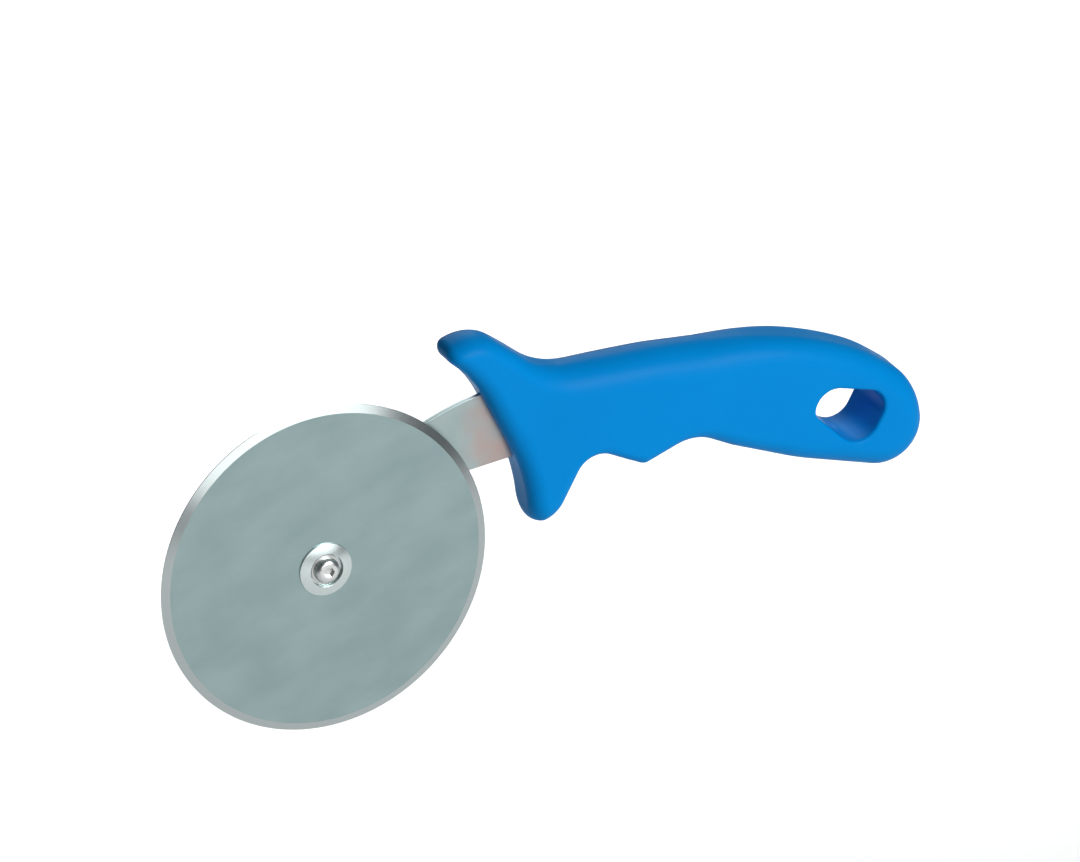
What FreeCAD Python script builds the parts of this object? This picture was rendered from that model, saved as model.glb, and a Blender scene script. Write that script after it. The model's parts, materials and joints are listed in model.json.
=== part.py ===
import FreeCAD, Part
import math
import os
import re

from FreeCAD import Placement, Rotation, Vector
from Sketcher import Constraint

# A pastry cutter wheel: a round blade that spins on one side of a curved flat arm, with a moulded handle.
# Frame: +X from the wheel towards the end of the handle, +Y away from the blade's side, +Z up.
# The origin is the centre of the hand grip. The blade's axle lies along Y.

DIMENSIONS = {
    # where the axle is, and the blade
    "axle_x": -118.0,
    "axle_z": -34.0,
    "wheel_diameter": 100.0,
    "blade_thickness": 2.0,
    "bevel_width": 2.4,
    "edge_land": 0.3,
    # the hub, which is fixed in the blade and turns on the bearing sleeve
    "hub_bore_diameter": 6.1,
    "hub_barrel_diameter": 12.4,
    "hub_flange_diameter": 16.0,
    "hub_flange_thickness": 1.2,
    "hub_recess_diameter": 10.0,
    "hub_recess_depth": 1.6,
    "hub_ring_thickness": 1.0,
    "hub_chamfer": 0.3,
    "hub_face_drop": 0.8,
    # the pieces that stand still on the axle
    "axial_play": 0.1,
    "sleeve_diameter": 6.0,
    "sleeve_bore_diameter": 4.1,
    "washer_diameter": 9.0,
    "washer_bore_diameter": 4.3,
    "washer_thickness": 0.8,
    "thrust_washer_diameter": 14.0,
    # the button-head screw and its lock nut
    "screw_diameter": 4.0,
    "screw_length": 12.0,
    "screw_head_diameter": 7.6,
    "screw_head_height": 2.2,
    "screw_head_rounding": 1.7,
    "screw_tip_chamfer": 0.5,
    "socket_flats": 2.5,
    "socket_depth": 1.3,
    "nut_flats": 7.0,
    "nut_height": 5.0,
    "nut_hexagon_height": 3.8,
    "nut_chamfer_height": 0.3,
    "nut_collar_diameter": 6.5,
    "nut_insert_diameter": 5.4,
    "nut_insert_height": 1.1,
    # the arm
    "arm_thickness": 1.5,
    "arm_end_radius": 9.5,
    "arm_slope": 42.0,
    "arm_hole_diameter": 4.2,
    "lock_hole_diameter": 6.0,
    "lock_hole_x": -47.0,
    "lock_hole_z": 0.5,
    "lock_hole_pitch": 25.0,
    # the handle
    "handle_width": 20.0,
    "guard_width": 16.0,
    "handle_front_x": -90.0,
    "widening_start_x": -72.0,
    "widening_end_x": -20.0,
    "handle_back_x": 80.0,
    "handle_rounding": 3.0,
    "hanging_hole_rounding": 1.0,
}

# Where the faces of the stack on the axle lie along Y, from the arm outwards.
ARM_FRONT = "-arm_thickness / 2"
HUB_BACK = f"({ARM_FRONT} - washer_thickness - axial_play)"
BLADE_BACK = f"({HUB_BACK} - hub_ring_thickness)"
BLADE_FRONT = f"({BLADE_BACK} - blade_thickness)"
HUB_FRONT = f"({BLADE_FRONT} - hub_flange_thickness)"
RECESS_FLOOR = f"({HUB_FRONT} + hub_recess_depth)"
SLEEVE_FRONT = f"({RECESS_FLOOR} - axial_play)"
HEAD_BACK = f"({SLEEVE_FRONT} - washer_thickness)"
HEAD_FRONT = f"({HEAD_BACK} - screw_head_height)"
SCREW_END = f"({HEAD_BACK} + screw_length)"
ARM_BACK = "(arm_thickness / 2)"
NUT_FRONT = f"({ARM_BACK} + washer_thickness)"
NUT_SHOULDER = f"({NUT_FRONT} + nut_hexagon_height)"
NUT_BACK = f"({NUT_FRONT} + nut_height)"
INSERT_FRONT = f"({NUT_BACK} - nut_insert_height)"

# The handle's side outline, seen from the blade's side: x, z and radius of each corner.
HANDLE_OUTLINE = [
    (-82.8, 25.2, 3.3),     # tip of the upper guard horn
    (-71.7, 15.9, 41.0),    # front of the guard
    (-55.8, -15.8, 66.0),
    (-53.0, -44.4, 3.7),    # tip of the lower guard horn
    (-37.4, -10.3, 7.2),    # finger notch
    (-20.1, -18.2, 3.2),    # ridge behind the finger notch
    (-4.0, -12.1, 14.5),    # hollow of the grip
    (8.4, -18.1, 21.0),
    (29.5, -26.2, 96.0),
    (72.6, -38.1, 12.8),    # drooping end
    (68.1, -8.5, 23.0),
    (51.9, 3.0, 51.0),      # back of the hand
    (28.1, 13.3, 110.0),
    (-16.0, 15.3, 101.0),
    (-49.5, 14.7, 22.0),    # saddle behind the upper horn
    (-70.9, 30.7, 11.3),
]

# The hanging hole, seen from the same side.
HANGING_HOLE_OUTLINE = [
    (34.9, -3.5, 6.5),
    (33.4, -12.2, 3.5),
    (49.1, -26.9, 6.9),
    (58.6, -9.0, 5.8),
]

# The arm from its outer bend round the tang to its inner bend. The round end at the axle comes after these.
ARM_OUTLINE = [
    (-83.0, -15.2, 35.0),   # inner bend
    (-57.0, -11.5, 1.5),    # lower shoulder of the tang
    (-57.0, -6.0, 1.0),
    (-10.0, -6.0, 2.0),     # end of the tang
    (-10.0, 7.0, 2.0),
    (-57.0, 7.0, 1.0),      # upper shoulder of the tang
    (-57.0, 11.2, 1.5),
    (-86.5, 7.0, 75.0),     # outer bend
]

document = FreeCAD.newDocument("pastry_cutter_wheel")
sheet = document.addObject("Spreadsheet::Sheet", "Dimensions")
for row, (alias, value) in enumerate(DIMENSIONS.items(), start=1):
    sheet.set(f"A{row}", alias)
    sheet.set(f"B{row}", str(value))
    sheet.setAlias(f"B{row}", alias)
document.recompute()


def number(expression):
    """What an expression on the sheet's aliases comes to now."""
    return float(sheet.evalExpression(expression))


def linked(expression):
    """The same expression as another object has to write it, with the sheet's name before each alias."""
    def prefixed(word):
        return f"Dimensions.{word[0]}" if word[0] in DIMENSIONS else word[0]
    return re.sub(r"[a-z_]+", prefixed, expression)


def place_on_axle(piece, y="0"):
    """Move a piece to the axle, with y along it."""
    piece.setExpression("Placement.Base.x", linked("axle_x"))
    piece.setExpression("Placement.Base.y", linked(y))
    piece.setExpression("Placement.Base.z", linked("axle_z"))


def new_sketch(body, name, plane):
    """An empty sketch on one of the body's own origin planes."""
    sketch = body.newObject("Sketcher::SketchObject", name)
    flat = [face for face in body.Origin.OriginFeatures if face.Role == plane]
    sketch.AttachmentSupport = [(flat[0], "")]
    sketch.MapMode = "FlatFace"
    return sketch


def pin_point(sketch, line, expressions):
    """Hold the start of a line at two expressions, measured from the sketch's origin."""
    for kind, axis, expression in zip(("DistanceX", "DistanceY"), (-2, -1), expressions):
        distance = number(expression)
        if distance == 0:
            sketch.addConstraint(Constraint("PointOnObject", line, 1, axis))
            continue
        index = sketch.addConstraint(Constraint(kind, -1, 1, line, 1, distance))
        sketch.setExpression(f"Constraints[{index}]", linked(expression))


def turned(name, profile):
    """A body turned about the axle from a closed profile of (radius, y) expressions."""
    body = document.addObject("PartDesign::Body", name)
    sketch = new_sketch(body, f"{name}_profile", "XY_Plane")
    points = [Vector(number(radius), number(y), 0) for radius, y in profile]
    count = len(points)
    for index, point in enumerate(points):
        sketch.addGeometry(Part.LineSegment(point, points[(index + 1) % count]))
    for index in range(count):
        sketch.addConstraint(Constraint("Coincident", index, 2, (index + 1) % count, 1))
    for index, expressions in enumerate(profile):
        pin_point(sketch, index, expressions)
    turning = body.newObject("PartDesign::Revolution", f"{name}_turning")
    turning.Profile = sketch
    turning.ReferenceAxis = (sketch, ["V_Axis"])
    turning.Angle = 360
    place_on_axle(body)
    return body


def ring(name, outer_diameter, bore_diameter, front, back):
    """A plain turned ring between two places along the axle."""
    outer = f"{outer_diameter} / 2"
    bore = f"{bore_diameter} / 2"
    return turned(name, [(bore, front), (outer, front), (outer, back), (bore, back)])


def hexagonal_prism(name, flats, height, y):
    """A hexagonal prism along the axle, from y towards +Y."""
    prism = document.addObject("Part::Prism", name)
    prism.Polygon = 6
    prism.setExpression("Circumradius", linked(f"{flats} / 2 / cos(30 deg)"))
    prism.setExpression("Height", linked(height))
    prism.Placement = Placement(Vector(0, 0, 0), Rotation(Vector(1, 0, 0), -90))
    place_on_axle(prism, y)
    return prism


def draw_rounded_outline(sketch, corners):
    """Draw a closed outline of straight runs joined by arcs: x, z and radius of each corner."""
    points = [Vector(x, z, 0) for x, z, radius in corners]
    arcs = []
    for index, (x, z, radius) in enumerate(corners):
        corner = points[index]
        before = (points[index - 1] - corner).normalize()
        after = (points[(index + 1) % len(points)] - corner).normalize()
        half_angle = before.getAngle(after) / 2
        reach = radius / math.tan(half_angle)
        inward = (before + after).normalize()
        middle = corner + inward * (radius / math.sin(half_angle) - radius)
        arcs.append((corner + before * reach, middle, corner + after * reach))
    for index, (start, middle, end) in enumerate(arcs):
        next_start = arcs[(index + 1) % len(arcs)][0]
        sketch.addGeometry(Part.Arc(start, middle, end))
        sketch.addGeometry(Part.LineSegment(end, next_start))
    for geometry in range(sketch.GeometryCount):
        sketch.addConstraint(Constraint("Block", geometry))


def slab(name, corners, thickness):
    """A body with a rounded outline in the XZ plane, padded to both sides of it."""
    body = document.addObject("PartDesign::Body", name)
    sketch = new_sketch(body, f"{name}_outline", "XZ_Plane")
    draw_rounded_outline(sketch, corners)
    pad = body.newObject("PartDesign::Pad", f"{name}_pad")
    pad.Profile = sketch
    pad.SideType = "Symmetric"
    pad.setExpression("Length", linked(thickness))
    return body


def boolean(kind, name, base, tool):
    """Cut or Common of two objects."""
    result = document.addObject(f"Part::{kind}", name)
    result.Base = base
    result.Tool = tool
    return result


def rounded(name, base, radius, is_rounded):
    """The base with a fillet on each edge that is_rounded picks."""
    document.recompute()
    fillet = document.addObject("Part::Fillet", name)
    fillet.Base = base
    size = number(radius)
    fillet.Edges = [(index, size, size) for index, edge in enumerate(base.Shape.Edges, 1) if is_rounded(edge)]
    return fillet


def wheel_blade():
    """A flat disc, bevelled from both faces to a narrow land at its edge."""
    bore = "hub_barrel_diameter / 2"
    rim = "wheel_diameter / 2"
    flat = f"{rim} - bevel_width"
    middle = f"({BLADE_FRONT} + blade_thickness / 2)"
    return turned("wheel_blade", [
        (bore, BLADE_FRONT),
        (flat, BLADE_FRONT),
        (rim, f"{middle} - edge_land / 2"),
        (rim, f"{middle} + edge_land / 2"),
        (flat, BLADE_BACK),
        (bore, BLADE_BACK),
    ])


def hub_bush():
    """The blade's hub: a coned flange in front, a barrel through the blade and a recess for the screw head."""
    bore = "hub_bore_diameter / 2"
    recess = "hub_recess_diameter / 2"
    barrel = "hub_barrel_diameter / 2"
    flange = "hub_flange_diameter / 2"
    return turned("hub_bush", [
        (bore, RECESS_FLOOR),
        (recess, RECESS_FLOOR),
        (recess, f"{HUB_FRONT} + hub_chamfer"),
        (f"{recess} + hub_chamfer", HUB_FRONT),
        (flange, f"{HUB_FRONT} + hub_face_drop"),
        (flange, BLADE_FRONT),
        (barrel, BLADE_FRONT),
        (barrel, HUB_BACK),
        (bore, HUB_BACK),
    ])


def axle_screw():
    """A button-head screw with a hexagon socket. Its shank has the thread's outer diameter."""
    shank = "screw_diameter / 2"
    head = "screw_head_diameter / 2"
    blank = turned("axle_screw_blank", [
        ("0", HEAD_FRONT),
        (head, HEAD_FRONT),
        (head, HEAD_BACK),
        (shank, HEAD_BACK),
        (shank, f"{SCREW_END} - screw_tip_chamfer"),
        (f"{shank} - screw_tip_chamfer", SCREW_END),
        ("0", SCREW_END),
    ])
    rim_radius = number(head)
    front = number(HEAD_FRONT)

    def is_head_rim(edge):
        return abs(edge.BoundBox.YMin - front) < 0.01 and abs(edge.BoundBox.XLength - 2 * rim_radius) < 0.01

    button = rounded("axle_screw_button", blank, "screw_head_rounding", is_head_rim)
    socket = hexagonal_prism("axle_screw_socket", "socket_flats", "socket_depth", HEAD_FRONT)
    return boolean("Cut", "axle_screw", button, socket)


def lock_nut():
    """A hexagon nut with a round collar that holds a nylon ring."""
    bore = "screw_diameter / 2"
    seat = "nut_insert_diameter / 2"
    collar = "nut_collar_diameter / 2"
    flats = "nut_flats / 2"
    corners = "(nut_flats / 2 / cos(30 deg))"
    turning = turned("lock_nut_turning", [
        (bore, NUT_FRONT),
        (flats, NUT_FRONT),
        (corners, f"{NUT_FRONT} + nut_chamfer_height"),
        (corners, f"{NUT_SHOULDER} - nut_chamfer_height"),
        (collar, NUT_SHOULDER),
        (collar, NUT_BACK),
        (seat, NUT_BACK),
        (seat, INSERT_FRONT),
        (bore, INSERT_FRONT),
    ])
    hexagon = hexagonal_prism("lock_nut_hexagon", "nut_flats", "nut_height", NUT_FRONT)
    return boolean("Common", "lock_nut", hexagon, turning)


def arm():
    """The flat steel arm: a round end at the axle, one bend, and a tang with two lock holes."""
    slope = math.radians(number("arm_slope"))
    radius = number("arm_end_radius")
    axle_x, axle_z = number("axle_x"), number("axle_z")
    along_x, along_z = radius * math.cos(slope), radius * math.sin(slope)
    # The two corners of the round end are rounded by a hair less than its half width.
    end_rounding = 0.99 * radius
    round_end = [
        (axle_x - along_x - along_z, axle_z - along_z + along_x, end_rounding),
        (axle_x - along_x + along_z, axle_z - along_z - along_x, end_rounding),
    ]
    body = slab("arm", ARM_OUTLINE + round_end, "arm_thickness")
    lock_holes = [(f"lock_hole_x + {index} * lock_hole_pitch", "lock_hole_z", "lock_hole_diameter")
                  for index in range(2)]
    sketch = new_sketch(body, "arm_holes", "XZ_Plane")
    for x, z, diameter in [("axle_x", "axle_z", "arm_hole_diameter")] + lock_holes:
        centre = Vector(number(x), number(z), 0)
        circle = sketch.addGeometry(Part.Circle(centre, Vector(0, 0, 1), number(diameter) / 2))
        for kind, expression in (("DistanceX", x), ("DistanceY", z)):
            index = sketch.addConstraint(Constraint(kind, -1, 1, circle, 3, number(expression)))
            sketch.setExpression(f"Constraints[{index}]", linked(expression))
        index = sketch.addConstraint(Constraint("Diameter", circle, number(diameter)))
        sketch.setExpression(f"Constraints[{index}]", linked(diameter))
    pocket = body.newObject("PartDesign::Pocket", "arm_drilling")
    pocket.Profile = sketch
    pocket.Type = "ThroughAll"
    pocket.SideType = "Symmetric"
    return body


def handle_plan():
    """The handle seen from above: the guard's width in front, widening in an S-curve to the grip's."""
    body = document.addObject("PartDesign::Body", "handle_plan")
    sketch = new_sketch(body, "handle_plan_outline", "XY_Plane")
    guard = number("guard_width") / 2
    grip = number("handle_width") / 2
    front, back = number("handle_front_x"), number("handle_back_x")
    start, end = number("widening_start_x"), number("widening_end_x")
    middle = (start + end) / 2
    for side in (-1, 1):
        s_curve = Part.BezierCurve()
        s_curve.setPoles([
            Vector(start, side * guard, 0),
            Vector(middle, side * guard, 0),
            Vector(middle, side * grip, 0),
            Vector(end, side * grip, 0),
        ])
        sketch.addGeometry(Part.LineSegment(Vector(front, side * guard, 0), Vector(start, side * guard, 0)))
        sketch.addGeometry(s_curve.toBSpline())
        sketch.addGeometry(Part.LineSegment(Vector(end, side * grip, 0), Vector(back, side * grip, 0)))
    for x, half_width in ((front, guard), (back, grip)):
        sketch.addGeometry(Part.LineSegment(Vector(x, -half_width, 0), Vector(x, half_width, 0)))
    for geometry in range(sketch.GeometryCount):
        sketch.addConstraint(Constraint("Block", geometry))
    pad = body.newObject("PartDesign::Pad", "handle_plan_pad")
    pad.Profile = sketch
    pad.SideType = "Symmetric"
    pad.Length = 200
    return body


def handle(arm_body):
    """The moulding round the tang: side outline and plan crossed, rounded, with its hanging hole."""
    side = slab("handle_side", HANDLE_OUTLINE, "handle_width")
    crossed = boolean("Common", "handle_crossed", side, handle_plan())
    half_guard = number("guard_width") / 2

    def is_side_rim(edge):
        box = edge.BoundBox
        return box.YMin > half_guard - 0.1 or box.YMax < 0.1 - half_guard

    smooth = rounded("handle_smooth", crossed, "handle_rounding", is_side_rim)
    hole = slab("hanging_hole", HANGING_HOLE_OUTLINE, "2 * handle_width")
    pierced = boolean("Cut", "handle_pierced", smooth, hole)
    document.recompute()
    hole_box = hole.Shape.BoundBox
    hole_box.enlarge(0.1)

    def is_hole_rim(edge):
        return hole_box.isInside(edge.BoundBox) and edge.BoundBox.YLength < 1

    eased = rounded("handle_eased", pierced, "hanging_hole_rounding", is_hole_rim)
    return boolean("Cut", "handle", eased, arm_body)


arm_body = arm()
PIECES = [
    handle(arm_body),
    arm_body,
    wheel_blade(),
    hub_bush(),
    ring("hub_ring", "hub_flange_diameter", "hub_barrel_diameter", BLADE_BACK, HUB_BACK),
    ring("bearing_sleeve", "sleeve_diameter", "sleeve_bore_diameter", SLEEVE_FRONT, ARM_FRONT),
    ring("front_washer", "washer_diameter", "washer_bore_diameter", HEAD_BACK, SLEEVE_FRONT),
    ring("thrust_washer", "thrust_washer_diameter", "sleeve_diameter",
         f"{ARM_FRONT} - washer_thickness", ARM_FRONT),
    axle_screw(),
    ring("rear_washer", "washer_diameter", "washer_bore_diameter", ARM_BACK, NUT_FRONT),
    lock_nut(),
    ring("lock_nut_insert", "nut_insert_diameter", "screw_diameter", INSERT_FRONT, NUT_BACK),
]
document.recompute()

for item in document.Objects:
    if "Invalid" in item.State or "Error" in item.State:
        raise RuntimeError(f"{item.Label} did not build: {item.State}")

os.makedirs("parts", exist_ok=True)
for piece in PIECES:
    shape = piece.Shape
    if shape.isNull() or not shape.isValid() or len(shape.Solids) != 1:
        raise RuntimeError(f"{piece.Label} is not one sound solid")
    shape.exportStep(f"parts/{piece.Label}.step")
    print(f"{piece.Label}: {shape.Volume:.1f} cubic mm")
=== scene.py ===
import json
import math

import bmesh
import bpy
import numpy as np
from mathutils import Matrix, Vector
from mathutils.geometry import delaunay_2d_cdt
from mathutils.kdtree import KDTree

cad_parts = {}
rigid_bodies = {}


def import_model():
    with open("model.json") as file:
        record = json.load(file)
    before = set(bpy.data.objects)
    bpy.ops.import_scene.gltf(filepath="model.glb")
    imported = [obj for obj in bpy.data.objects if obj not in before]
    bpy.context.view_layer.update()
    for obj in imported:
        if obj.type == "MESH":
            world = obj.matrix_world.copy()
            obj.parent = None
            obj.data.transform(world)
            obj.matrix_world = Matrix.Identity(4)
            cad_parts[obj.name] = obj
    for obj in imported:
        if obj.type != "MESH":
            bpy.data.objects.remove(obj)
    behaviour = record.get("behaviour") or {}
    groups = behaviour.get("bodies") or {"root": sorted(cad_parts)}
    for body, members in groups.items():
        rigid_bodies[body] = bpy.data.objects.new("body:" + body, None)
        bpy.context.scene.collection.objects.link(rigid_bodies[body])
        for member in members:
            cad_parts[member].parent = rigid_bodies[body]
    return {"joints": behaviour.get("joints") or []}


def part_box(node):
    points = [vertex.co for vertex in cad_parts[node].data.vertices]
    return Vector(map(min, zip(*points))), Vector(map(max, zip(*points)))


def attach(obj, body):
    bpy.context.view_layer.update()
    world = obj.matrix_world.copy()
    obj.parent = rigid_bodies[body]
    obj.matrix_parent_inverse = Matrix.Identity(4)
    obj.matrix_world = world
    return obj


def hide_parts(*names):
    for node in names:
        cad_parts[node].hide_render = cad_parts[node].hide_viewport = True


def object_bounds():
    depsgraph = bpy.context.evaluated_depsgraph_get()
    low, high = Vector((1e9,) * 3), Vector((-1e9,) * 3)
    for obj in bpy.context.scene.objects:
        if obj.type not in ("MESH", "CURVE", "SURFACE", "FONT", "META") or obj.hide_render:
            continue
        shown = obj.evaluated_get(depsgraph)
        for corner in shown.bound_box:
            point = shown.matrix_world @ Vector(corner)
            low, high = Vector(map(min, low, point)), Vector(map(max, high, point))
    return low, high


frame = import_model()
CAD_LOW, CAD_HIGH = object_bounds()

MM = 0.001
FULL_TURN = 360             # steps round a turned piece
ARC_STEP = math.radians(9)  # the largest turn between two points of an arc
NET_STEP = 0.6              # millimetres between the points of the handle's surface
SLIVER_AREA = 1e-11         # square metres, below which a flat triangle has no area worth keeping
FLANGE_STEP = 1.8           # millimetres from the hub's barrel out to the edge of its flange and its ring
SCREW_RADIUS = 2.0          # millimetres: an M4 screw's

AXLE = Vector(frame["joints"][0]["pos_m"])
GRIP = frame["joints"][0]["parent"]
WHEEL = frame["joints"][0]["child"]

# The handle's side outline in millimetres: x, z and radius of each corner.
HANDLE_OUTLINE = [
    (-82.8, 25.2, 3.3),     # tip of the upper guard horn
    (-71.7, 15.9, 41.0),    # front of the guard
    (-55.8, -15.8, 66.0),
    (-53.0, -44.4, 3.7),    # tip of the lower guard horn
    (-37.4, -10.3, 7.2),    # finger notch
    (-20.1, -18.2, 3.2),    # ridge behind the finger notch
    (-4.0, -12.1, 14.5),    # hollow of the grip
    (8.4, -18.1, 21.0),
    (29.5, -26.2, 96.0),
    (72.6, -38.1, 12.8),    # drooping end
    (68.1, -8.5, 23.0),
    (51.9, 3.0, 51.0),      # back of the hand
    (28.1, 13.3, 110.0),
    (-16.0, 15.3, 101.0),
    (-49.5, 14.7, 22.0),    # saddle behind the upper horn
    (-70.9, 30.7, 11.3),
]
HANGING_HOLE_OUTLINE = [
    (34.9, -3.5, 6.5),
    (33.4, -12.2, 3.5),
    (49.1, -26.9, 6.9),
    (58.6, -9.0, 5.8),
]
HOLE_RIM = 1.0
GUARD_HALF_WIDTH = 8.0
WIDENING_X = (-72.0, -20.0)      # where the handle widens from the guard to the grip
HORN_CENTRES_Z = (-25.5, 22.4)   # beyond these heights the guard grows thinner
HORN_STRETCH = (1.07, 0.69)      # how fast it does so: 1 ends in a half circle
LOWER_HORN_X = (-45.0, -30.0)    # where the lower horn's thinning gives way to the full grip
BELOW_HANDLE_Z = -60.0
TANG_CLEARANCE = 0.1

# How round the handle's upper and lower rims are along X.
UPPER_RIM_X, UPPER_RIM = (-60.0, -40.0, 0.0, 25.0, 75.0), (5.0, 9.0, 9.5, 7.0, 6.0)
LOWER_RIM_X, LOWER_RIM = (-50.0, -40.0, -25.0, 10.0, 60.0), (5.0, 3.0, 3.0, 5.0, 7.0)
RIM_CHANGE_Z = (-12.0, 0.0)

# The arm's outline up to its round end, and its holes.
ARM_RIM = 0.25
ARM_OUTLINE = [
    (-83.0, -15.2, 35.0),   # inner bend
    (-57.0, -11.5, 1.5),    # lower shoulder of the tang
    (-57.0, -6.0, 1.0),
    (-10.0, -6.0, 2.0),     # end of the tang
    (-10.0, 7.0, 2.0),
    (-57.0, 7.0, 1.0),      # upper shoulder of the tang
    (-57.0, 11.2, 1.5),
    (-86.5, 7.0, 75.0),     # outer bend
]
ARM_SLOPE = math.radians(42)
ARM_END_RADIUS = 9.5
ARM_HOLE_RADIUS = 2.1
LOCK_HOLE_RADIUS = 3.0
LOCK_HOLES = [(-47.0, 0.5), (-22.0, 0.5)]

FLOOR_DROP = 0.35   # metres from the object down to the floor


# ---------------------------------------------------------------- shaders

class Shader:
    """A Principled material whose inputs are fed by a few procedural textures in the piece's own space."""

    def __init__(self, name, color, roughness, metallic=0.0, **constants):
        self.material = bpy.data.materials.new(name)
        self.material.use_nodes = True
        self.nodes = self.material.node_tree.nodes
        self.links = self.material.node_tree.links
        self.principled = self.nodes["Principled BSDF"]
        self.principled.inputs["Base Color"].default_value = (*color, 1.0)
        self.principled.inputs["Roughness"].default_value = roughness
        self.principled.inputs["Metallic"].default_value = metallic
        for socket, value in constants.items():
            self.principled.inputs[socket.replace("_", " ")].default_value = value
        self.place = self.nodes.new("ShaderNodeTexCoord").outputs["Object"]
        self.height = None

    def node(self, kind, **settings):
        made = self.nodes.new(kind)
        for key, value in settings.items():
            setattr(made, key, value)
        return made

    def link(self, source, target):
        self.links.new(source, target)

    def stretched(self, scale, turn=0.0):
        """The piece's coordinates, turned about Y and then scaled, which stretches a texture one way."""
        turned = self.node("ShaderNodeMapping")
        turned.inputs["Rotation"].default_value = (0, turn, 0)
        self.link(self.place, turned.inputs["Vector"])
        scaled = self.node("ShaderNodeMapping")
        scaled.inputs["Scale"].default_value = scale
        self.link(turned.outputs["Vector"], scaled.inputs["Vector"])
        return scaled.outputs["Vector"]

    def noise(self, scale, detail=2.0, place=None):
        """A noise between 0 and 1. The scale is in features per metre."""
        noise = self.node("ShaderNodeTexNoise")
        noise.inputs["Scale"].default_value = scale
        noise.inputs["Detail"].default_value = detail
        self.link(place or self.place, noise.inputs["Vector"])
        return noise.outputs["Fac"]

    def radius(self):
        """How far a point is from the piece's own Y axis, in metres."""
        flat = self.stretched((1, 0, 1))
        length = self.node("ShaderNodeVectorMath", operation="LENGTH")
        self.link(flat, length.inputs[0])
        return length.outputs["Value"]

    def rings(self, per_metre, detail=3.0):
        """Fine concentric lines: a noise that changes only with the distance from the axis."""
        place = self.node("ShaderNodeCombineXYZ")
        self.link(self.radius(), place.inputs["X"])
        return self.noise(per_metre, detail, place.outputs["Vector"])

    def between(self, factor, low, high, start=0.0, end=1.0):
        """A number that goes from low to high as the factor goes from start to end."""
        ramp = self.node("ShaderNodeMapRange")
        for socket, value in (("From Min", start), ("From Max", end), ("To Min", low), ("To Max", high)):
            ramp.inputs[socket].default_value = value
        self.link(factor, ramp.inputs["Value"])
        return ramp.outputs["Result"]

    def mixed(self, factor, first, second):
        """A colour between two, by a factor. Each is a colour or the output of another node."""
        mix = self.node("ShaderNodeMix", data_type="RGBA")
        self.link(factor, mix.inputs["Factor"])
        for socket, value in ((mix.inputs[6], first), (mix.inputs[7], second)):
            if isinstance(value, tuple):
                socket.default_value = (*value, 1.0)
            else:
                self.link(value, socket)
        return mix.outputs[2]

    def color(self, output):
        self.link(output, self.principled.inputs["Base Color"])

    def rough(self, output):
        self.link(output, self.principled.inputs["Roughness"])

    def bump(self, output, depth, strength=1.0):
        """Adds a relief of that depth in metres on top of the ones already there."""
        bump = self.node("ShaderNodeBump")
        bump.inputs["Distance"].default_value = depth
        bump.inputs["Strength"].default_value = strength
        self.link(output, bump.inputs["Height"])
        if self.height is not None:
            self.link(self.height, bump.inputs["Normal"])
        self.height = bump.outputs["Normal"]
        self.link(self.height, self.principled.inputs["Normal"])

    def turned_grain(self):
        """Lets the highlight run round the piece's own Y axis, as on a turned or spun surface."""
        tangent = self.node("ShaderNodeTangent", direction_type="RADIAL", axis="Y")
        self.link(tangent.outputs["Tangent"], self.principled.inputs["Tangent"])


def handle_plastic():
    """Blue polypropylene with the fine even grain of its mould and slight flow marks."""
    shader = Shader("handle_plastic", (0.0005, 0.236, 0.64), 0.36, IOR=1.3, Specular_IOR_Level=0.09)
    cloud = shader.noise(38.0, 3.0)
    shader.color(shader.mixed(cloud, (0.0003, 0.224, 0.62), (0.0008, 0.248, 0.66)))
    shader.rough(shader.between(shader.noise(260.0, 4.0), 0.30, 0.42))
    shader.bump(shader.noise(55.0, 2.0), 0.25 * MM, 0.12)
    shader.bump(shader.noise(3200.0, 2.0), 0.012 * MM, 0.5)
    return shader.material


def blade_steel():
    """Satin sheet steel: a fine rolled grain, a few stray scratches and soft cloudy patches."""
    shader = Shader("blade_steel", (0.36, 0.467, 0.482), 0.34, 1.0)
    cloud = shader.noise(90.0, 6.0, shader.stretched((0.5, 1.0, 1.0), math.radians(20)))
    cloud = shader.between(cloud, 0.0, 1.0, 0.36, 0.64)
    shader.color(shader.mixed(cloud, (0.318, 0.427, 0.432), (0.368, 0.481, 0.484)))
    grain = shader.noise(2600.0, 3.0, shader.stretched((1.0, 1.0, 0.02), math.radians(8)))
    scratches = shader.noise(700.0, 5.0, shader.stretched((1.0, 1.0, 0.015), math.radians(-37)))
    shader.rough(shader.between(grain, 0.30, 0.40))
    shader.bump(grain, 0.006 * MM, 0.35)
    shader.bump(shader.between(scratches, 0.0, 1.0, 0.62, 0.70), 0.004 * MM, 0.25)
    return shader.material


def bevel_steel():
    """The ground bevel: bright, with the grinding marks running round the blade."""
    shader = Shader("bevel_steel", (0.58, 0.64, 0.64), 0.2, 1.0, Anisotropic=0.4)
    rings = shader.rings(9000.0)
    shader.rough(shader.between(rings, 0.16, 0.26))
    shader.bump(rings, 0.004 * MM, 0.3)
    shader.turned_grain()
    return shader.material


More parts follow.
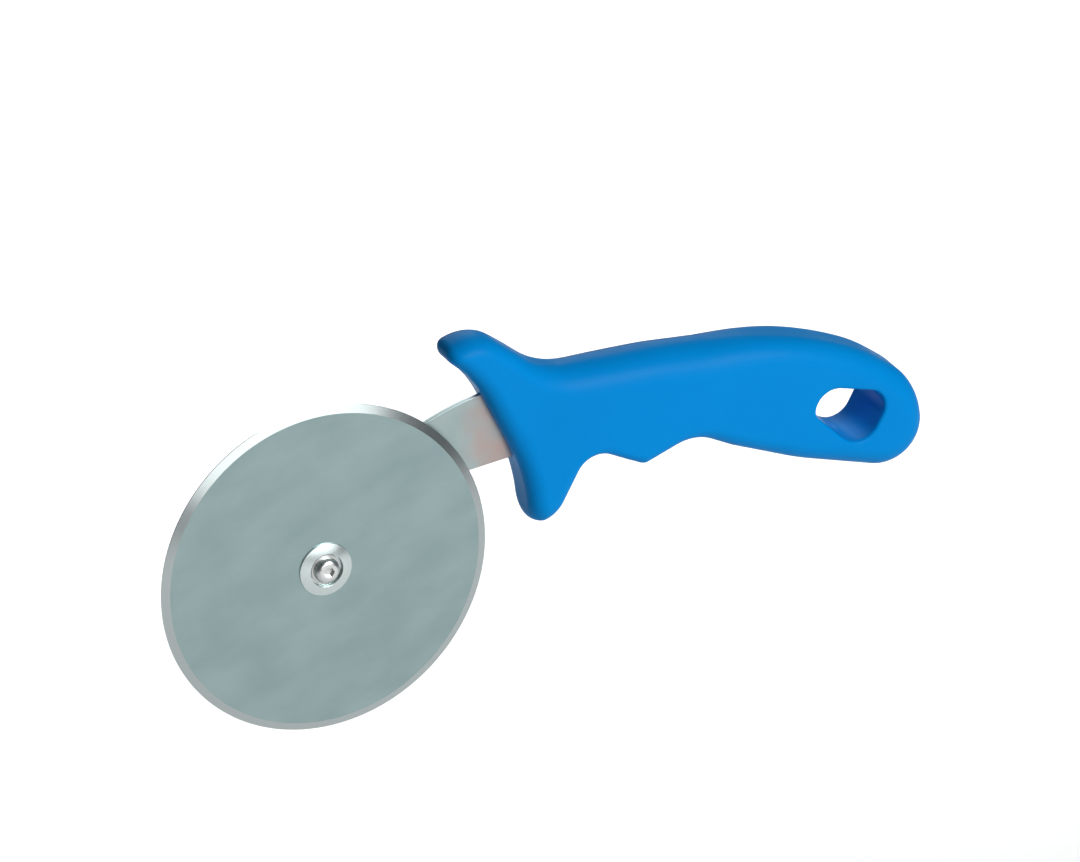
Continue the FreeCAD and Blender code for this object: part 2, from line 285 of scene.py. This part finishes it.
def arm_steel():
    """Rolled strip: brushed along its length, with faint warm, slightly darker pinkish blotches towards the
    guard.
    """
    shader = Shader("arm_steel", (0.43, 0.53, 0.53), 0.36, 1.0)
    low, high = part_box("handle")
    along = shader.node("ShaderNodeSeparateXYZ")
    shader.link(shader.place, along.inputs["Vector"])
    # Towards the guard, noise blotches turn the steel a darker pinkish brown.
    near_guard = shader.between(along.outputs["X"], 0.0, 1.0, low.x + 4 * MM, low.x + 11 * MM)
    patch = shader.node("ShaderNodeMath", operation="MULTIPLY")
    shader.link(near_guard, patch.inputs[0])
    shader.link(shader.between(shader.noise(90.0, 2.0), 0.1, 1.0, 0.3, 0.65), patch.inputs[1])
    steel = shader.mixed(shader.noise(110.0, 4.0), (0.36, 0.46, 0.465), (0.50, 0.60, 0.60))
    shader.color(shader.mixed(patch.outputs["Value"], steel, (0.54, 0.41, 0.38)))
    grain = shader.noise(2400.0, 3.0, shader.stretched((0.02, 1.0, 1.0), math.radians(26)))
    shader.rough(shader.between(grain, 0.30, 0.42))
    shader.bump(grain, 0.006 * MM, 0.4)
    return shader.material


def turned_steel(name, color, roughness, anisotropic=0.75):
    """Steel with fine turning lines round the axle."""
    shader = Shader(name, color, roughness, 1.0, Anisotropic=anisotropic)
    rings = shader.rings(7000.0, 4.0)
    shader.rough(shader.between(rings, roughness - 0.06, roughness + 0.08))
    shader.bump(rings, 0.006 * MM, 0.5)
    shader.turned_grain()
    return shader.material


def forged_steel(name):
    """Bright tumbled fastener steel with a soft, slightly uneven skin."""
    shader = Shader(name, (0.78, 0.80, 0.79), 0.3, 1.0)
    skin = shader.noise(900.0, 4.0)
    shader.color(shader.mixed(skin, (0.72, 0.74, 0.73), (0.84, 0.86, 0.85)))
    shader.rough(shader.between(skin, 0.22, 0.36))
    shader.bump(shader.noise(2200.0, 3.0), 0.01 * MM, 0.4)
    return shader.material


def nylon():
    """Natural nylon: milky, soft-edged and slightly waxy."""
    shader = Shader("nylon", (0.78, 0.77, 0.71), 0.5, IOR=1.53)
    skin = shader.noise(700.0, 3.0)
    shader.color(shader.mixed(skin, (0.74, 0.73, 0.67), (0.82, 0.81, 0.76)))
    shader.rough(shader.between(skin, 0.42, 0.58))
    shader.bump(shader.noise(1800.0, 3.0), 0.01 * MM, 0.4)
    return shader.material


# ---------------------------------------------------------------- mesh helpers

def corner_arcs(corners):
    """The arc at each corner (u, v, radius) of a closed outline.

    Each is where the arc starts, its centre, where it ends and the way back along the run before it.
    """
    arcs = []
    for index, (u, v, radius) in enumerate(corners):
        here = Vector((u, v))
        before = (Vector(corners[index - 1][:2]) - here).normalized()
        after = (Vector(corners[(index + 1) % len(corners)][:2]) - here).normalized()
        half = before.angle(after) / 2
        reach = radius / math.tan(half)
        centre = here + (before + after).normalized() * (radius / math.sin(half))
        arcs.append((here + before * reach, centre, here + after * reach, before))
    return arcs


def rounded_loop(corners, spacing=None):
    """The points of a closed outline with an arc at each corner, and the way along it at each of them.

    Without a spacing the straight runs are not divided.
    """
    arcs = corner_arcs(corners)
    points, tangents = [], []
    for index, (start, centre, end, before) in enumerate(arcs):
        first, last = start - centre, end - centre
        sweep = math.atan2(first.cross(last), first.dot(last)) if first.length > 1e-9 else 0.0
        steps = math.ceil(abs(sweep) / ARC_STEP)
        if spacing:
            steps = max(steps, math.ceil(abs(sweep) * first.length / spacing))
        for step in range(steps + 1):
            turn = Matrix.Rotation(sweep * step / max(steps, 1), 2)
            points.append(centre + turn @ first)
            tangents.append(turn @ -before)
        run = arcs[(index + 1) % len(arcs)][0] - end
        pieces = math.ceil(run.length / spacing) if spacing else 1
        points.extend(end + run * step / pieces for step in range(1, pieces))
        tangents.extend(run.normalized() for _ in range(1, pieces))
    return np.array(points), np.array(tangents)


def winding(points):
    """1 for a closed loop that runs counterclockwise and -1 for a clockwise one."""
    points = np.array(points)[:, :2]
    ahead = np.roll(points, -1, 0)
    return math.copysign(1, np.sum(points[:, 0] * ahead[:, 1] - ahead[:, 0] * points[:, 1]))


def new_piece(name, vertices, faces, material, location=(0, 0, 0)):
    """A piece with a smooth mesh whose sharp corners stay sharp."""
    mesh = bpy.data.meshes.new(name)
    mesh.from_pydata([tuple(vertex) for vertex in vertices], [], faces)
    clean_mesh(mesh)
    mesh.materials.append(material)
    piece = bpy.data.objects.new(name, mesh)
    piece.location = location
    bpy.context.scene.collection.objects.link(piece)
    return piece


def clean_mesh(mesh, sharp_angle=28):
    """Joins points that coincide, turns the faces outward and marks the edges sharper than some degrees."""
    work = bmesh.new()
    work.from_mesh(mesh)
    bmesh.ops.remove_doubles(work, verts=work.verts, dist=1e-7)
    bmesh.ops.recalc_face_normals(work, faces=work.faces)
    work.to_mesh(mesh)
    work.free()
    mesh.shade_smooth()
    mesh.set_sharp_from_angle(angle=math.radians(sharp_angle))


def stand_for(piece, node, body):
    """The piece takes the place of a CAD node on its body, with the flat faces leading its shading."""
    normals = piece.modifiers.new("flat_faces_lead", "WEIGHTED_NORMAL")
    normals.keep_sharp = True
    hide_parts(node)
    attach(piece, body)
    return piece


# ---------------------------------------------------------------- turned pieces

def turned_piece(name, corners, material, shape=None, steps=FULL_TURN):
    """A piece turned about the axle from a closed profile of (radius, y, rounding) corners in metres.

    shape(radius, y, angle) may give another radius for a point.
    """
    profile, _ = rounded_loop(corners)
    count = len(profile)
    vertices = []
    for step in range(steps):
        angle = math.tau * step / steps
        for radius, y in profile:
            real = shape(radius, y, angle) if shape else radius
            vertices.append((real * math.cos(angle), y - AXLE.y, real * math.sin(angle)))
    faces = []
    for step in range(steps):
        near, far = step * count, (step + 1) % steps * count
        for index in range(count):
            after = (index + 1) % count
            if profile[index][0] + profile[after][0] > 0:
                faces.append((near + index, near + after, far + after, far + index))
    return new_piece(name, vertices, faces, material, AXLE)


def reach(node):
    """Where a CAD node on the axle starts and ends along Y, and its outer radius."""
    low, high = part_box(node)
    return low.y, high.y, (high.x - low.x) / 2


def hexagon(angle):
    """How far a hexagon's side is from its centre at an angle, if the middle of the side is at 1."""
    return 1 / math.cos(angle % math.radians(60) - math.radians(30))


def ring_piece(node, bore_radius, rounding, material, body):
    """A plain ring in the place of a CAD node, with its corners rounded."""
    front, back, outer = reach(node)
    corners = [(bore_radius, front), (outer, front), (outer, back), (bore_radius, back)]
    piece = turned_piece(f"{node}_turned", [(*corner, rounding) for corner in corners], material)
    return stand_for(piece, node, body)


def wheel_blade(face_material, bevel_material):
    """The disc: flat satin faces and a ground bevel on both sides of the edge."""
    front, back, rim = reach("wheel_blade")
    bevel, crease, land = 2.4 * MM, 0.04 * MM, 0.15 * MM
    barrel, flat = reach("hub_ring")[2] - FLANGE_STEP * MM, rim - bevel
    middle = (front + back) / 2
    piece = turned_piece("wheel_blade_disc", [
        (barrel, front, crease),
        (flat, front, crease),
        (rim, middle - land, crease),
        (rim, middle + land, crease),
        (flat, back, crease),
        (barrel, back, crease),
    ], face_material, steps=2 * FULL_TURN)
    piece.data.materials.append(bevel_material)
    for face in piece.data.polygons:
        if math.hypot(face.center.x, face.center.z) > flat + crease:
            face.material_index = 1
    return stand_for(piece, "wheel_blade", WHEEL)


def hub_bush(material):
    """The hub: a coned flange with a recess for the screw head, and a barrel through the blade."""
    front, back, flange = reach("hub_bush")
    blade_front = reach("wheel_blade")[0]
    bore, recess, barrel = 3.05 * MM, 5.0 * MM, flange - FLANGE_STEP * MM
    floor, drop = front + 1.6 * MM, 0.8 * MM
    fine, rim = 0.05 * MM, 0.12 * MM
    piece = turned_piece("hub_bush_turned", [
        (bore, floor, fine),
        (recess, floor, 0.15 * MM),
        (recess, front, rim),
        (flange, front + drop, rim),
        (flange, blade_front, fine),
        (barrel, blade_front, fine),
        (barrel, back, fine),
        (bore, back, fine),
    ], material)
    return stand_for(piece, "hub_bush", WHEEL)


def axle_screw(material):
    """A button-head screw with a hexagon socket, and a thread that ends just behind the lock nut."""
    front, end, head = reach("axle_screw")
    back = front + 2.2 * MM
    shank, socket = SCREW_RADIUS * MM, 1.45 * MM
    floor = front + 1.3 * MM
    fade, tip = 2.2 * MM, 0.5 * MM
    pitch, depth, rows_per_turn = 0.7 * MM, 0.38 * MM, 14
    thread_start = end - 7.5 * MM
    rows = rows_per_turn * math.ceil((end - thread_start) / pitch)

    def shape(radius, y, angle):
        """A hexagon at the socket that fades into the round head, and the thread's groove behind the head."""
        if y < back:
            share = min(max((fade - radius) / (fade - socket), 0.0), 1.0)
            return radius * (1 + (hexagon(angle) - 1) * share)
        turn = ((y - thread_start) / pitch - angle / math.tau) % 1
        wave = min(max(1.3 * abs(2 * turn - 1) - 0.15, 0.0), 1.0)
        run_in = min(max((y - thread_start) / pitch, 0.0), 1.0)
        return min(radius, shank - depth * run_in * (1 - wave))

    thread_length = end - tip - thread_start
    thread = [(shank, thread_start + thread_length * row / rows, 0.0) for row in range(rows)]
    piece = turned_piece("axle_screw_threaded", [
        (0.0, floor + 0.35 * MM, 0.0),
        (0.7 * socket, floor, 0.0),
        (socket, floor, 0.0),
        (socket, front + 0.08 * MM, 0.0),
        (socket + 0.1 * MM, front, 0.0),
        (head, front, 1.7 * MM),
        (head, back, 0.15 * MM),
        (shank, back, 0.0),
        *thread,
        (shank - tip, end, 0.0),
        (0.0, end, 0.0),
    ], material, shape, steps=180)
    return stand_for(piece, "axle_screw", GRIP)


def lock_nut(material):
    """A hexagon nut with chamfered corners and a crimped collar over its nylon ring."""
    front, back, corner = reach("lock_nut")
    flats = corner * math.cos(math.radians(30))
    shoulder = front + 3.8 * MM
    bore, seat, collar = SCREW_RADIUS * MM, 2.7 * MM, 3.25 * MM
    seat_front = back - 1.1 * MM
    chamfer = 0.3 * MM
    chamfer_rows = [share / 6 for share in range(7)]

    def shape(radius, y, angle):
        """The radius, cut back to the hexagon's sides."""
        return min(radius, flats * hexagon(angle))

    step = corner - flats
    front_chamfer = [(flats + step * share, front + chamfer * share, 0.0) for share in chamfer_rows]
    back_chamfer = [(corner - step * share, shoulder + chamfer * (share - 1), 0.0) for share in chamfer_rows]
    piece = turned_piece("lock_nut_hexagon", [
        (bore + 0.2 * MM, front, 0.0),
        *front_chamfer,
        *back_chamfer,
        (collar, shoulder, 0.1 * MM),
        (collar, back, 0.45 * MM),
        (seat, back, 0.05 * MM),
        (seat, seat_front, 0.0),
        (bore, seat_front, 0.0),
        (bore, front + 0.2 * MM, 0.0),
    ], material, shape, steps=240)
    return stand_for(piece, "lock_nut", GRIP)


# ---------------------------------------------------------------- flat pieces

def is_inside(points, loop):
    """Which of the points lie inside a closed loop."""
    x, y = points[:, 0][:, None], points[:, 1][:, None]
    x1, y1 = loop[:, 0], loop[:, 1]
    x2, y2 = np.roll(x1, -1), np.roll(y1, -1)
    level = (y1 <= y) != (y2 <= y)
    rise = np.where(y2 == y1, 1.0, y2 - y1)
    crossing = x1 + (y - y1) * (x2 - x1) / rise
    return np.sum(level & (x < crossing), axis=1) % 2 == 1


def face_grid(rims, spacing):
    """Evenly spaced points on a flat face, clear of the loops round it. The first loop is the outer one."""
    low, high = rims[0].min(0), rims[0].max(0)
    axes = [np.arange(low[i], high[i], spacing) for i in range(2)]
    grid = np.stack(np.meshgrid(*axes), -1).reshape(-1, 2)
    grid = grid[is_inside(grid, rims[0])]
    for hole in rims[1:]:
        grid = grid[~is_inside(grid, hole)]
    edge_points = np.concatenate(rims)
    tree = KDTree(len(edge_points))
    for index, point in enumerate(edge_points):
        tree.insert((*point, 0), index)
    tree.balance()
    return np.array([point for point in grid if tree.find((*point, 0))[2] > 0.6 * spacing])


def face_triangles(rims, grid):
    """Triangles over a flat face. Their numbers count the loops' points in order, and then the grid's.

    Points on a straight run can be a hair out of line, and the sliver that they make is left out.
    """
    flat = np.concatenate([*rims, grid])
    edges, start = [], 0
    for rim in rims:
        edges += [(start + i, start + (i + 1) % len(rim)) for i in range(len(rim))]
        start += len(rim)
    made, _, triangles, origins, _, _ = delaunay_2d_cdt([Vector(point) for point in flat], edges, [], 0, 1e-9)
    corners = np.array([[made[i] for i in triangle] for triangle in triangles])
    centres = corners.mean(1)
    first, second = corners[:, 1] - corners[:, 0], corners[:, 2] - corners[:, 0]
    areas = np.abs(first[:, 0] * second[:, 1] - first[:, 1] * second[:, 0]) / 2
    kept = is_inside(centres, rims[0]) & (areas > SLIVER_AREA)
    for hole in rims[1:]:
        kept &= ~is_inside(centres, hole)
    return [[origins[i][0] for i in triangle] for triangle, keep in zip(triangles, kept) if keep]


def slab_piece(name, outlines, half_width, rim, material, spacing):
    """A slab in the XZ plane with rounded rims, from its outer outline and those of its holes, in metres.

    Each row of points round a rim is an inward shift, as a share of the rim's radius, and a place along Y.
    """
    angles = [math.radians(angle) for angle in range(-90, 1, 15)]
    rows = [(1 - math.cos(angle), math.sin(angle) * rim - half_width + rim) for angle in angles]
    rows += [(inward, -y) for inward, y in reversed(rows)]
    vertices, faces, rims, front, back = [], [], [], [], []
    for number, outline in enumerate(outlines):
        points, tangents = rounded_loop(outline, spacing)
        side = winding(points) * (1 if number == 0 else -1)
        outward = np.stack([tangents[:, 1], -tangents[:, 0]], 1) * side
        count, first = len(points), len(vertices)
        for inward, y in rows:
            vertices += [(x, y, z) for x, z in points - outward * inward * rim]
        for near in range(first, len(vertices) - count, count):
            for index in range(count):
                after = (index + 1) % count
                faces.append((near + index, near + after, near + count + after, near + count + index))
        rims.append(points - outward * rim)
        front += range(first, first + count)
        back += range(len(vertices) - count, len(vertices))
    grid = face_grid(rims, 1.6 * spacing)
    for x, z in grid:
        front.append(len(vertices))
        back.append(len(vertices) + 1)
        vertices += [(x, -half_width, z), (x, half_width, z)]
    for triangle in face_triangles(rims, grid):
        faces.append([front[i] for i in triangle])
        faces.append([back[i] for i in triangle])
    return new_piece(name, vertices, faces, material)


def circle_outline(x, z, radius):
    """A round hole as four corners whose arcs meet."""
    signs = ((1, 1), (-1, 1), (-1, -1), (1, -1))
    return [(x + i * radius, z + j * radius, 0.9999 * radius) for i, j in signs]


def arm_outline():
    """The arm's whole outline with its round end, in metres."""
    along = Vector((math.cos(ARM_SLOPE), math.sin(ARM_SLOPE))) * ARM_END_RADIUS
    across = Vector((-along.y, along.x))
    axle = Vector((AXLE.x, AXLE.z)) / MM
    round_end = [(*(axle - along + side * across), 0.99 * ARM_END_RADIUS) for side in (1, -1)]
    return [[size * MM for size in corner] for corner in ARM_OUTLINE + round_end]


def arm(material):
    """The flat steel arm, with its round end, its bend and its tang inside the handle."""
    holes = [circle_outline(AXLE.x, AXLE.z, ARM_HOLE_RADIUS * MM)]
    holes += [circle_outline(x * MM, z * MM, LOCK_HOLE_RADIUS * MM) for x, z in LOCK_HOLES]
    half_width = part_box("arm")[1].y
    piece = slab_piece("arm_plate", [arm_outline(), *holes], half_width, ARM_RIM * MM, material, 1.0 * MM)
    return stand_for(piece, "arm", GRIP)


# ---------------------------------------------------------------- the handle

def outline_distance(corners, x, z):
    """How far points are outside a closed outline with rounded corners. It is less than 0 inside."""
    arcs = corner_arcs(corners)
    side = winding(corners)
    nearest = np.full(np.broadcast(x, z).shape, np.inf)
    for index, (start, centre, end, before) in enumerate(arcs):
        spread, radius = (start + end) / 2 - centre, (start - centre).length
        convex = side * math.copysign(1, (start - centre).cross(end - centre))
        across_x, across_z = x - centre.x, z - centre.y
        from_centre = np.hypot(across_x, across_z)
        in_arc = across_x * spread.x + across_z * spread.y >= from_centre * spread.length ** 2 / radius
        next_start = arcs[(index + 1) % len(arcs)][0]
        along = (next_start - end).normalized()
        way = (x - end.x) * along.x + (z - end.y) * along.y
        in_run = (way >= 0) & (way <= (next_start - end).length)
        from_run = ((x - end.x) * along.y - (z - end.y) * along.x) * side
        for distance, applies in ((convex * (from_centre - radius), in_arc), (from_run, in_run)):
            nearest = np.where(applies & (np.abs(distance) < np.abs(nearest)), distance, nearest)
    return nearest


def rounded_overlap(first, second, radius):
    """The distance from what two shapes share, with that radius where their surfaces meet."""
    corner = np.hypot(np.maximum(radius + first, 0), np.maximum(radius + second, 0))
    return np.minimum(-radius, np.maximum(first, second)) + corner


def handle_half_width(x):
    """Half the handle's width at x: the guard's in front, widening in an S-curve to the grip's."""
    start, end = WIDENING_X
    middle = (start + end) / 2
    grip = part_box("handle")[1].y / MM
    t = np.linspace(0, 1, 200)
    curve_x = start * (1 - t) ** 3 + 3 * middle * t * (1 - t) + end * t ** 3
    curve_y = GUARD_HALF_WIDTH + (grip - GUARD_HALF_WIDTH) * (3 * t ** 2 - 2 * t ** 3)
    return np.interp(x, curve_x, curve_y)


def handle_distance(x, y, z):
    """How far points are outside the handle, in millimetres. It is less than 0 inside."""
    side = outline_distance(HANDLE_OUTLINE, x, z)
    lower_centre = np.interp(x, LOWER_HORN_X, (HORN_CENTRES_Z[0], BELOW_HANDLE_Z))
    beyond = np.maximum((lower_centre - z) * HORN_STRETCH[0], (z - HORN_CENTRES_Z[1]) * HORN_STRETCH[1])
    width = np.hypot(y, np.maximum(beyond, 0)) - handle_half_width(x)
    share = np.clip((z - RIM_CHANGE_Z[0]) / (RIM_CHANGE_Z[1] - RIM_CHANGE_Z[0]), 0, 1)
    share = share * share * (3 - 2 * share)
    lower, upper = np.interp(x, LOWER_RIM_X, LOWER_RIM), np.interp(x, UPPER_RIM_X, UPPER_RIM)
    body = rounded_overlap(side, width, lower + (upper - lower) * share)
    return rounded_overlap(body, -outline_distance(HANGING_HOLE_OUTLINE, x, z), HOLE_RIM)


def settle(points, distance):
    """Moves points straight onto the surface where a distance is 0."""
    probe = 0.01
    for _ in range(3):
        slopes = []
        for axis in range(3):
            shift = np.eye(3)[axis] * probe
            slopes.append((distance(*(points + shift).T) - distance(*(points - shift).T)) / (2 * probe))
        slope = np.stack(slopes, 1)
        steepness = np.maximum((slope ** 2).sum(1), 0.1)
        points = points - slope * (distance(*points.T) / steepness)[:, None]
    return points


def surface_net(distance, low, high, step):
    """An even net of quads over the surface where a distance is 0: its points and its faces."""
    axes = [np.arange(low[i], high[i] + step, step) for i in range(3)]
    field = distance(axes[0][:, None, None], axes[1][None, :, None], axes[2][None, None, :])
    inside = field < 0
    cells = tuple(size - 1 for size in field.shape)

    def corner_of(array, offset):
        return array[tuple(slice(o, o + size) for o, size in zip(offset, cells))]

    corners = list(np.ndindex(2, 2, 2))
    filled = sum(corner_of(inside, offset).astype(int) for offset in corners)
    places = np.argwhere((filled > 0) & (filled < 8))
    numbers = np.full(cells, -1)
    numbers[tuple(places.T)] = np.arange(len(places))
    total, crossings = np.zeros((len(places), 3)), np.zeros(len(places))
    for first in corners:
        for axis in range(3):
            if first[axis] == 1:
                continue
            second = tuple(1 if i == axis else o for i, o in enumerate(first))
            near, far = (corner_of(field, offset)[tuple(places.T)] for offset in (first, second))
            crossed = (near < 0) != (far < 0)
            share = np.where(crossed, near / np.where(crossed, near - far, 1), 0)
            spot = places + np.array(first) + share[:, None] * np.eye(3)[axis]
            total += spot * crossed[:, None]
            crossings += crossed
    points = np.array(low) + step * total / crossings[:, None]
    faces = []
    for axis in range(3):
        u, v = (i for i in range(3) if i != axis)
        near = [slice(1, -1)] * 3
        far = [slice(1, -1)] * 3
        near[axis], far[axis] = slice(0, -1), slice(1, None)
        edges = np.argwhere(inside[tuple(near)] != inside[tuple(far)])
        edges += np.array([0 if i == axis else 1 for i in range(3)])
        quad = []
        for du, dv in ((0, 0), (1, 0), (1, 1), (0, 1)):
            cell = edges.copy()
            cell[:, u] -= du
            cell[:, v] -= dv
            quad.append(numbers[tuple(cell.T)])
        faces += np.stack(quad, 1).tolist()
    return settle(points, distance), faces


def cut(piece, tool):
    """Takes the tool's shape out of the piece, and removes the tool."""
    difference = piece.modifiers.new("difference", "BOOLEAN")
    difference.operation = "DIFFERENCE"
    difference.solver = "EXACT"
    difference.object = tool
    bpy.context.view_layer.update()
    evaluated = piece.evaluated_get(bpy.context.evaluated_depsgraph_get())
    mesh = bpy.data.meshes.new_from_object(evaluated)
    piece.modifiers.remove(difference)
    piece.data = mesh
    bpy.data.objects.remove(tool)


def handle(material):
    """The moulded handle: soft rims, a guard whose horns thin out, a hanging hole and a slot for the arm."""
    low, high = (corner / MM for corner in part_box("handle"))
    margin = Vector((4.0, 1.0, 4.0))
    points, faces = surface_net(handle_distance, low - margin, high + margin, NET_STEP)
    piece = new_piece("handle_moulding", points * MM, faces, material)
    half_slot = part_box("arm")[1].y + TANG_CLEARANCE * MM
    cut(piece, slab_piece("arm_slot", [arm_outline()], half_slot, ARM_RIM * MM, material, 2.0 * MM))
    clean_mesh(piece.data, sharp_angle=50)
    return stand_for(piece, "handle", GRIP)


# ---------------------------------------------------------------- studio

def pale_floor():
    """A plain pale floor well below the object."""
    material = bpy.data.materials.new("pale_floor")
    material.use_nodes = True
    principled = material.node_tree.nodes["Principled BSDF"]
    principled.inputs["Base Color"].default_value = (0.86, 0.86, 0.86, 1.0)
    principled.inputs["Roughness"].default_value = 0.9
    size, below = 12.0, CAD_LOW.z - FLOOR_DROP
    mesh = bpy.data.meshes.new("floor")
    corners = [(x * size, y * size, below) for x, y in ((-1, -1), (1, -1), (1, 1), (-1, 1))]
    mesh.from_pydata(corners, [], [(0, 1, 2, 3)])
    mesh.materials.append(material)
    floor = bpy.data.objects.new("floor", mesh)
    bpy.context.scene.collection.objects.link(floor)


def soft_light(name, direction, distance, size, power, target=None):
    """A rectangular area light, with a width and a height, that looks at a target from a direction.

    The target is the middle of the object if none is given.
    """
    light = bpy.data.lights.new(name, "AREA")
    light.shape = "RECTANGLE"
    light.size, light.size_y = size
    light.energy = power
    lamp = bpy.data.objects.new(name, light)
    towards = Vector(direction).normalized()
    lamp.location = (target or (CAD_LOW + CAD_HIGH) / 2) + towards * distance
    lamp.rotation_euler = towards.to_track_quat("Z", "Y").to_euler()
    lamp.visible_camera = False
    bpy.context.scene.collection.objects.link(lamp)


def studio():
    """Plain soft light: a wide one in front, one above it, one behind, and one over the floor beyond."""
    soft_light("front", (0.12, -0.95, 0.17), 2.3, (2.3, 0.9), 10.8)
    soft_light("above", (0.28, -0.77, 0.57), 2.2, (1.0, 1.0), 37.0)
    soft_light("behind", (0.2, 0.9, 0.45), 2.6, (1.6, 1.6), 16.0)
    beyond = Vector((CAD_HIGH.x + 0.35, CAD_HIGH.y + 1.05, CAD_LOW.z - FLOOR_DROP))
    soft_light("beyond", (0, 0, 1), 0.5, (1.6, 1.0), 10.0, beyond)
    world = bpy.data.worlds.new("pale_surround")
    world.use_nodes = True
    background = world.node_tree.nodes["Background"]
    background.inputs["Color"].default_value = (0.85, 0.93, 1.0, 1.0)
    background.inputs["Strength"].default_value = 0.07
    bpy.context.scene.world = world
    bpy.context.scene.view_settings.view_transform = "Standard"


def camera():
    """A long lens from the front left and above, as the object is usually pictured."""
    azimuth, elevation, roll = (math.radians(angle) for angle in (-25.1, 24.47, 0.57))
    distance, rightward, upward = 2.8, 61.0 * MM, 38.6 * MM
    level = math.cos(elevation)
    back = Vector((math.sin(azimuth) * level, -math.cos(azimuth) * level, math.sin(elevation)))
    right = Matrix.Rotation(roll, 3, back) @ Vector((math.cos(azimuth), math.sin(azimuth), 0))
    up = back.cross(right)
    aim = AXLE + right * rightward + up * upward
    data = bpy.data.cameras.new("camera")
    data.sensor_width = 36
    data.lens = 330.4
    data.clip_end = 50
    eye = bpy.data.objects.new("camera", data)
    turned = Matrix((right, up, back)).transposed().to_4x4()
    eye.matrix_world = Matrix.Translation(aim + back * distance) @ turned
    bpy.context.scene.collection.objects.link(eye)
    bpy.context.scene.camera = eye


# ---------------------------------------------------------------- the object

hub_finish = turned_steel("hub_steel", (0.76, 0.85, 0.84), 0.24, anisotropic=0.3)
washer_finish = turned_steel("washer_steel", (0.62, 0.63, 0.62), 0.3, anisotropic=0.4)
nylon_finish = nylon()

# The plain rings: node, bore radius and rounding in millimetres, material, body and slot.
RINGS = [
    ("hub_ring", 6.2, 0.2, hub_finish, WHEEL, "hub_steel"),
    ("bearing_sleeve", 2.05, 0.1, hub_finish, GRIP, "hub_steel"),
    ("front_washer", 2.15, 0.1, washer_finish, GRIP, "fastener_steel"),
    ("thrust_washer", 3.0, 0.1, nylon_finish, GRIP, "nylon"),
    ("rear_washer", 2.15, 0.12, washer_finish, GRIP, "fastener_steel"),
    ("lock_nut_insert", SCREW_RADIUS, 0.15, nylon_finish, GRIP, "nylon"),
]

handle(handle_plastic())
arm(arm_steel())
wheel_blade(blade_steel(), bevel_steel())
hub_bush(hub_finish)
axle_screw(forged_steel("screw_steel"))
lock_nut(forged_steel("nut_steel"))
for node, bore, rounding, material, body, slot in RINGS:
    ring_piece(node, bore * MM, rounding * MM, material, body)

pale_floor()
studio()
camera()
